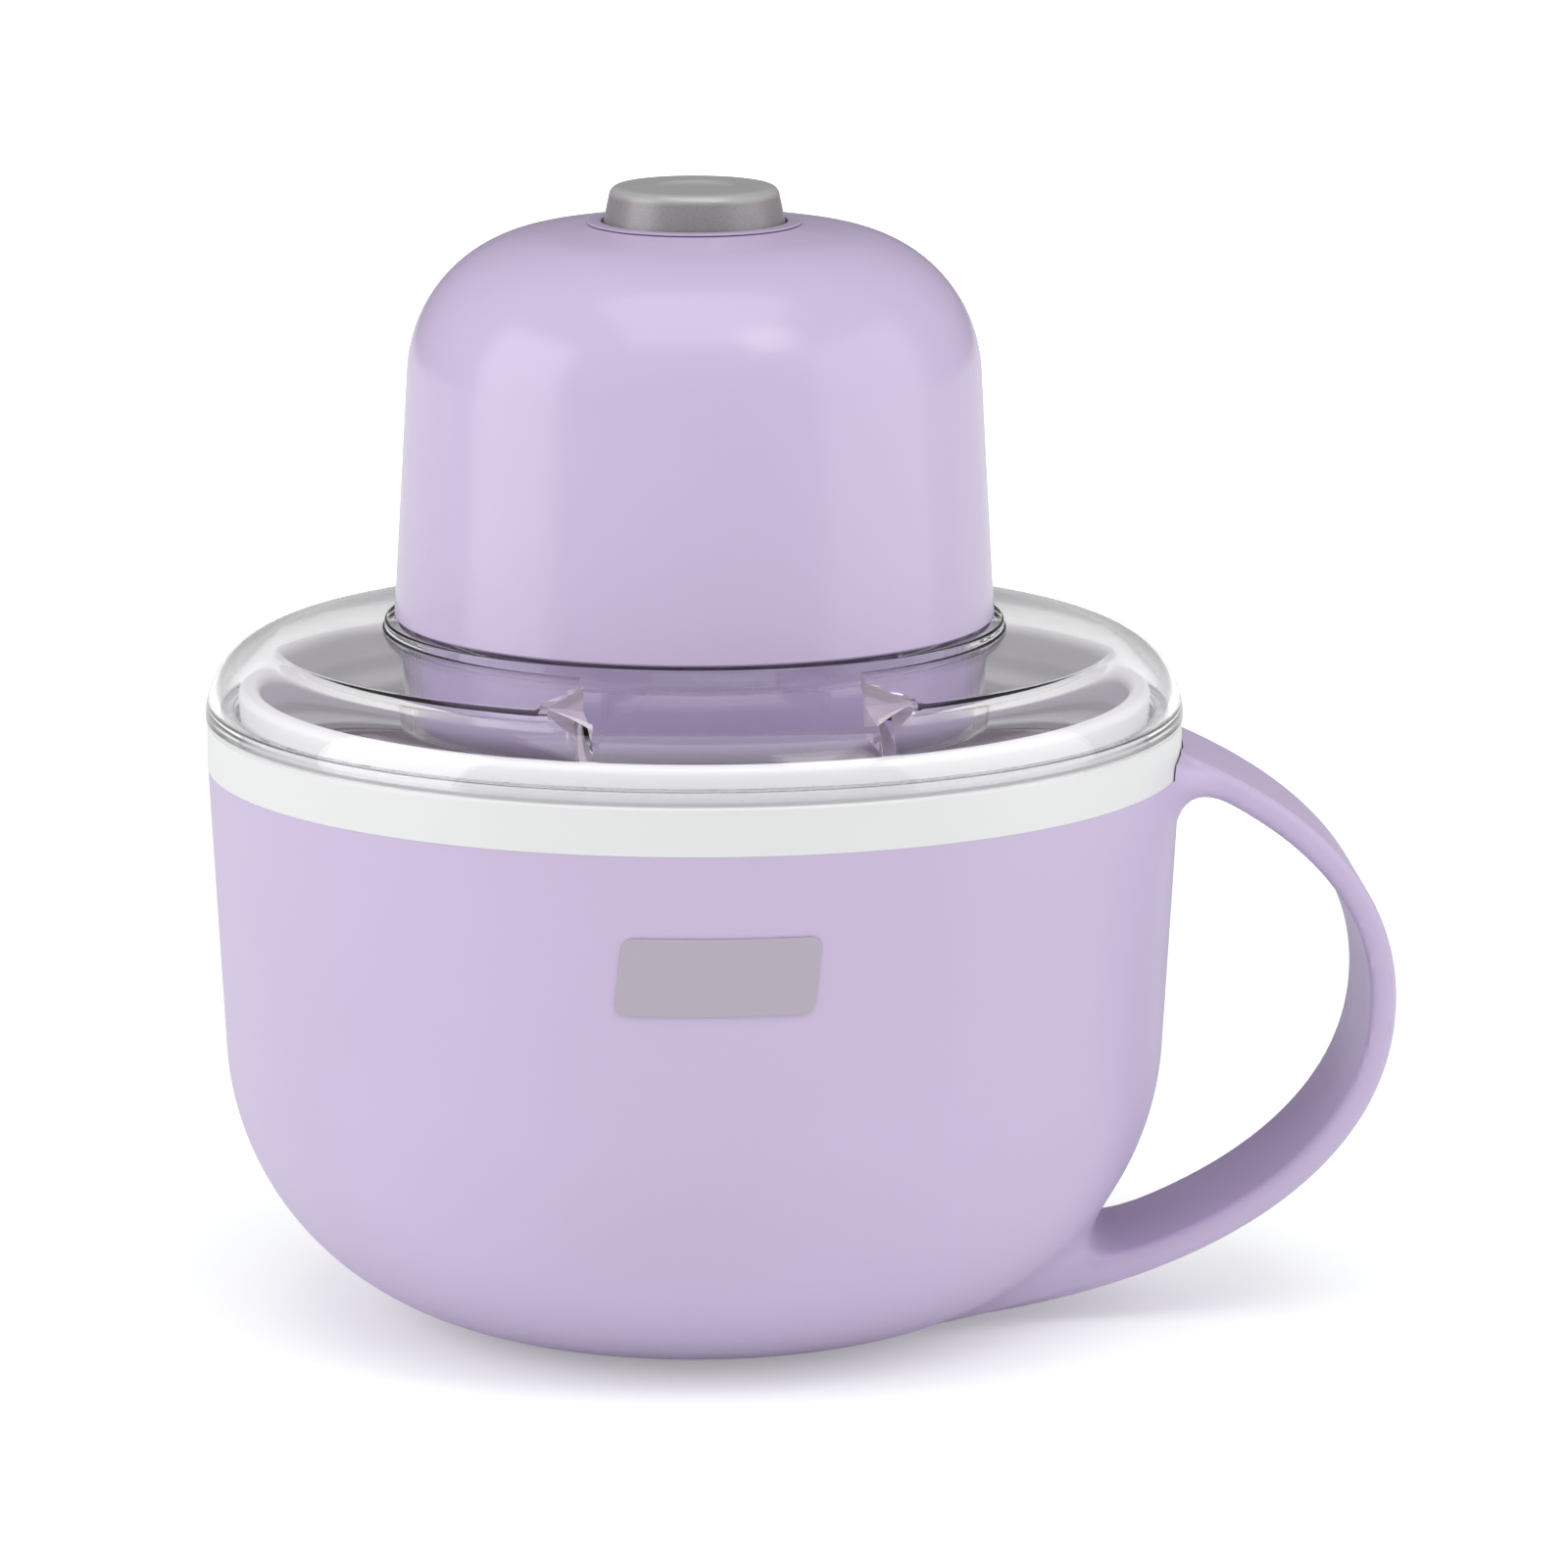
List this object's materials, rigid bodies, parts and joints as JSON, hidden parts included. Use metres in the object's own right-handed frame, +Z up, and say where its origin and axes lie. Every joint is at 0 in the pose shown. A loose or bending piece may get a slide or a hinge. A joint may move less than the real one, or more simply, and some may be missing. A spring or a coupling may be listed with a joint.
{
  "type": "ice cream maker",
  "caption": "Mug-shaped ice cream maker with a swooping handle, a double-walled freezer bowl, a clear lid with a chute, and a domed motor head that turns a mixing paddle.",
  "frame": {"origin": "centre of the foot pad's underside, on the mug's axis", "axes": "+Z up along the mug's axis, +X towards the handle, -Y towards the lid's chute"},
  "size_m": [0.1823, 0.15, 0.1754],
  "materials": {
    "mug_lavender": "soft satin gloss",
    "foot_rubber": "matt",
    "badge_grey": "printed, matt",
    "rim_white": "satin",
    "bowl_white": "matt",
    "liner_metal": "satin",
    "gel": "translucent gel",
    "plug_rubber": "matt",
    "lid_clear": "clear, polished plastic",
    "gasket": "matt silicone",
    "housing_lavender": "gloss",
    "base_lavender": "satin",
    "bezel_grey": "satin",
    "inner_white": "matt",
    "switch_black": "matt",
    "board_green": "satin",
    "capacitor_blue": "gloss",
    "wire_red": "satin",
    "gearbox_white": "matt",
    "steel": "bright",
    "bronze": "sintered bronze",
    "magnet": "dark ferrite",
    "button_grey": "satin grey",
    "copper": "wound copper",
    "gear_white": "natural acetal",
    "paddle_white": "satin"
  },
  "bodies": {
    "mug": {"mug_shell": "mug_lavender", "foot_pad": "foot_rubber", "badge": "badge_grey", "bowl_rim": "rim_white", "bowl_outer": "bowl_white", "bowl_liner": "liner_metal", "coolant_gel": "gel", "fill_plug": "plug_rubber"},
    "lid": {"lid": "lid_clear", "lid_gasket": "gasket"},
    "head": {"motor_housing": "housing_lavender", "housing_base": "base_lavender", "button_bezel": "bezel_grey", "switch_bracket": "inner_white", "switch_body": "switch_black", "circuit_board": "board_green", "board_capacitor": "capacitor_blue", "lead_wires": "wire_red", "cord_gland": "housing_lavender", "gear_case": "gearbox_white", "gear_cover": "gearbox_white", "first_axle": "steel", "second_axle": "steel", "output_bush": "bronze", "shaft_seal": "plug_rubber", "motor_can": "steel", "motor_magnets": "magnet", "motor_bush": "bronze", "motor_end_cap": "inner_white", "housing_screws": "steel", "gearbox_screws": "steel", "motor_screws": "steel", "bracket_screws": "steel", "button_spring": "steel"},
    "button": {"power_button": "button_grey", "switch_plunger": "inner_white"},
    "rotor": {"armature": "copper", "motor_pinion": "bronze"},
    "first_gear": {"first_gear": "gear_white"},
    "second_gear": {"second_gear": "gear_white"},
    "output": {"output_gear": "gear_white", "output_shaft": "steel", "retaining_ring": "steel"},
    "paddle": {"paddle": "paddle_white"}
  },
  "joints": [
    {"name": "lid_lift", "type": "slide", "parent": "mug", "child": "lid", "axis": [0, 0, 1], "range_m": [0, 0.12]},
    {"name": "head_lift", "type": "slide", "parent": "lid", "child": "head", "axis": [0, 0, 1], "range_m": [0, 0.05]},
    {"name": "button_press", "type": "slide", "parent": "head", "child": "button", "axis": [0, 0, -1], "range_m": [0, 0.0016], "stiffness_N_per_m": 900, "deforming": ["button_spring"]},
    {"name": "paddle_spin", "type": "hinge", "parent": "mug", "child": "paddle", "pos_m": [0, 0, 0.08], "axis": [0, 0, 1], "continuous": true},
    {"name": "output_spin", "type": "hinge", "parent": "head", "child": "output", "pos_m": [0, 0, 0.1], "axis": [0, 0, 1], "continuous": true},
    {"name": "second_gear_spin", "type": "hinge", "parent": "head", "child": "second_gear", "pos_m": [-0.0184, 0, 0.108], "axis": [0, 0, 1], "continuous": true},
    {"name": "first_gear_spin", "type": "hinge", "parent": "head", "child": "first_gear", "pos_m": [-0.01026, 0.01331, 0.116], "axis": [0, 0, 1], "continuous": true},
    {"name": "rotor_spin", "type": "hinge", "parent": "head", "child": "rotor", "pos_m": [0, 0, 0.13], "axis": [0, 0, 1], "continuous": true}
  ],
  "couplings": [
    {"joint": "output_spin", "follows": "paddle_spin", "ratio": 1},
    {"joint": "second_gear_spin", "follows": "paddle_spin", "ratio": -2.8333},
    {"joint": "first_gear_spin", "follows": "paddle_spin", "ratio": 9.4444},
    {"joint": "rotor_spin", "follows": "paddle_spin", "ratio": -34.63}
  ]
}
